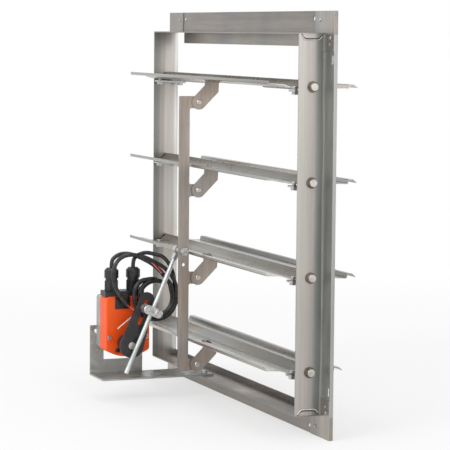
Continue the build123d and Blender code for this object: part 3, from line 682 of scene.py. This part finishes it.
PLATE_LOW = (COVER_FACE, -0.204, -0.179)
PLATE_HIGH = (COVER_FACE + 0.0012, -0.1765, -0.1572)
PLATE_EDGE = 0.0004
plate = block("blank_plate", PLATE_LOW, PLATE_HIGH, PLATE_EDGE, black_plate)
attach(plate, "frame_body")
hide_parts("nameplate")

SLIT_LENGTH = 0.0085
SLIT_WIDTH = 0.0022
SLIT_HEIGHT = 0.0016
SLIT_ASIDE = 0.0016  # from the tab's face to the middle of the fold
TAB_REACH = 0.003
PROBE_HEIGHT = 1.0  # above every blade


def surface_height(node, x, y):
    """Height of a piece's top surface at one place."""
    start = (x, y, PROBE_HEIGHT)
    found, place, _, _ = frame["nodes"][node].ray_cast(start, (0.0, 0.0, -1.0))
    return place.z if found else 0.0


def slit_shadow(number, end, x, y):
    """A black block standing on the blade where a tab is twisted over: painted shadow of the raised
    tab.
    """
    node = f"blade_{number}"
    half = SLIT_LENGTH / 2
    ahead, behind = surface_height(node, x, y - half), surface_height(node, x, y + half)
    # the black material here is painted shadow beside the twisted tab
    piece = block(
        f"tab_fold_shadow_{number}_{end}",
        (-SLIT_WIDTH / 2, -half, 0.0),
        (SLIT_WIDTH / 2, half, SLIT_HEIGHT),
        SLIT_HEIGHT / 5,
        black_plate,
    )
    tilt = Matrix.Rotation(math.atan2(behind - ahead, SLIT_LENGTH), 4, "X")
    piece.data.transform(Matrix.Translation((x, y, (ahead + behind) / 2)) @ tilt)
    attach(piece, f"vane_{number}")


for number in range(1, 5):
    arm_points = [v.co for v in frame["nodes"][f"blade_arm_{number}"].data.vertices]
    top = max(p.z for p in arm_points)
    tab_points = [p for p in arm_points if p.z > top - TAB_REACH]
    near_x, far_x = max(p.x for p in tab_points), min(p.x for p in tab_points)
    front_y, rear_y = min(p.y for p in tab_points), max(p.y for p in tab_points)
    quarter = (rear_y - front_y) / 4
    slit_shadow(number, "front", far_x - SLIT_ASIDE, front_y + quarter)
    slit_shadow(number, "rear", near_x + SLIT_ASIDE, rear_y - quarter)

CRIMP_RADIUS = 0.0011
CRIMP_OUT = 0.0004
CRIMP_INSET = 0.0015  # from the end of the jamb
# drop of the painted shadow tube below the seam
CRIMP_SHADOW_DROP = 0.0021
CRIMP_SHADOW_RADIUS = CRIMP_RADIUS * 0.8
WEB_FACE = 0.338


def crimp(name, side, level, sense):
    """The curled seam where a member's end is folded against the jamb, with a black tube just below
    it as painted shadow under the curl.
    """
    x = side * (WEB_FACE + CRIMP_OUT)
    line = (
        (-0.0405, 0.0),
        (-0.0385, 0.0035),
        (-0.0350, 0.0072),
        (-0.0290, 0.0080),
        (-0.0210, 0.0074),
        (-0.0130, 0.0078),
        (-0.0075, 0.0056),
        (-0.0055, 0.0020),
    )
    seam = curve(name, [(x, y, level - sense * z) for y, z in line], CRIMP_RADIUS, shaft_steel)
    # a black tube below the seam: painted shadow under the curl
    gap_shadow = curve(
        name + "_gap",
        [(x - side * CRIMP_OUT, y, level - sense * (z - CRIMP_SHADOW_DROP)) for y, z in line],
        CRIMP_SHADOW_RADIUS,
        black_plate,
    )
    for piece in (seam, gap_shadow):
        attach(piece, "frame_body")


jamb_low, jamb_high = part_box("right_jamb")
for side, hand in ((1, "right"), (-1, "left")):
    crimp(f"seam_top_{hand}", side, jamb_high.z - CRIMP_INSET, 1)
    crimp(f"seam_bottom_{hand}", side, jamb_low.z + CRIMP_INSET, -1)

# ---- light, floor and backdrop -----------------------------------------------------------
WHITE = (1.0, 1.0, 1.0, 1.0)
WORLD_LIGHT = 0.62
FLOOR_SIZE = 30.0
FLOOR_DROP = 0.0005
FLOOR_TONE = (0.9, 0.9, 0.9, 1.0)
FLOOR_SHADOW = 0.34  # share of the floor that takes light and shadow near the damper
FLOOR_NEAR = 0.7  # from here outward that share fades, until it is gone at the far distance
FLOOR_FAR = 2.2
LAMPS = (  # name, place, size and power
    ("key", (1.6, -3.4, 2.2), 2.4, 70.0),
    ("side", (3.8, 0.6, 0.9), 1.8, 22.0),
    ("top", (-0.4, 0.2, 3.2), 2.2, 34.0),
)

for name, place, size, power in LAMPS:
    lamp_data = bpy.data.lights.new(name, "AREA")
    lamp_data.shape = "SQUARE"
    lamp_data.size = size
    lamp_data.energy = power
    lamp = bpy.data.objects.new(name, lamp_data)
    scene.collection.objects.link(lamp)
    lamp.location = place
    lamp.rotation_euler = (-Vector(place)).to_track_quat("-Z", "Y").to_euler()


def shown_to(tree, *rays):
    """1 for light paths of the named kinds and 0 for the others."""
    paths = tree.nodes.new("ShaderNodeLightPath")
    value = paths.outputs[rays[0]]
    for ray in rays[1:]:
        larger = tree.nodes.new("ShaderNodeMath")
        larger.operation = "MAXIMUM"
        tree.links.new(value, larger.inputs[0])
        tree.links.new(paths.outputs[ray], larger.inputs[1])
        value = larger.outputs["Value"]
    return value


world = bpy.data.worlds.new("studio")
scene.world = world
world.use_nodes = True
tree = world.node_tree
shown = shown_to(tree, "Is Camera Ray", "Is Glossy Ray", "Is Transmission Ray")
level = tree.nodes.new("ShaderNodeMapRange")
level.inputs["To Min"].default_value = WORLD_LIGHT
level.inputs["To Max"].default_value = 1.0
tree.links.new(shown, level.inputs["Value"])
background = tree.nodes["Background"]
background.inputs["Color"].default_value = WHITE
tree.links.new(level.outputs["Result"], background.inputs["Strength"])

half = FLOOR_SIZE / 2
low = Vector(cad_box[0])[2] - FLOOR_DROP
corners = [(-half, -half, low), (half, -half, low), (half, half, low), (-half, half, low)]
floor_mesh = bpy.data.meshes.new("floor")
floor_mesh.from_pydata(corners, [], [(0, 1, 2, 3)])
floor = bpy.data.objects.new("floor", floor_mesh)
scene.collection.objects.link(floor)

floor_look = bpy.data.materials.new("floor")
floor_look.use_nodes = True
tree = floor_look.node_tree
tree.nodes.remove(tree.nodes["Principled BSDF"])
matte = tree.nodes.new("ShaderNodeBsdfDiffuse")
matte.inputs["Color"].default_value = FLOOR_TONE
glow = tree.nodes.new("ShaderNodeEmission")
glow.inputs["Color"].default_value = WHITE
glow.inputs["Strength"].default_value = 1.0
floor_place = tree.nodes.new("ShaderNodeTexCoord")
reach = tree.nodes.new("ShaderNodeVectorMath")
reach.operation = "LENGTH"
tree.links.new(floor_place.outputs["Object"], reach.inputs[0])
plain = tree.nodes.new("ShaderNodeMapRange")
plain.interpolation_type = "SMOOTHSTEP"
plain.inputs["From Min"].default_value = FLOOR_NEAR
plain.inputs["From Max"].default_value = FLOOR_FAR
plain.inputs["To Min"].default_value = 1.0 - FLOOR_SHADOW
plain.inputs["To Max"].default_value = 1.0
tree.links.new(reach.outputs["Value"], plain.inputs["Value"])
share = tree.nodes.new("ShaderNodeMath")
share.operation = "MULTIPLY"
tree.links.new(shown_to(tree, "Is Camera Ray", "Is Glossy Ray"), share.inputs[0])
tree.links.new(plain.outputs["Result"], share.inputs[1])
blend = tree.nodes.new("ShaderNodeMixShader")
tree.links.new(share.outputs["Value"], blend.inputs["Fac"])
tree.links.new(matte.outputs["BSDF"], blend.inputs[1])
tree.links.new(glow.outputs["Emission"], blend.inputs[2])
tree.links.new(blend.outputs["Shader"], tree.nodes["Material Output"].inputs["Surface"])
floor_mesh.materials.append(floor_look)

scene.view_settings.view_transform = "Standard"
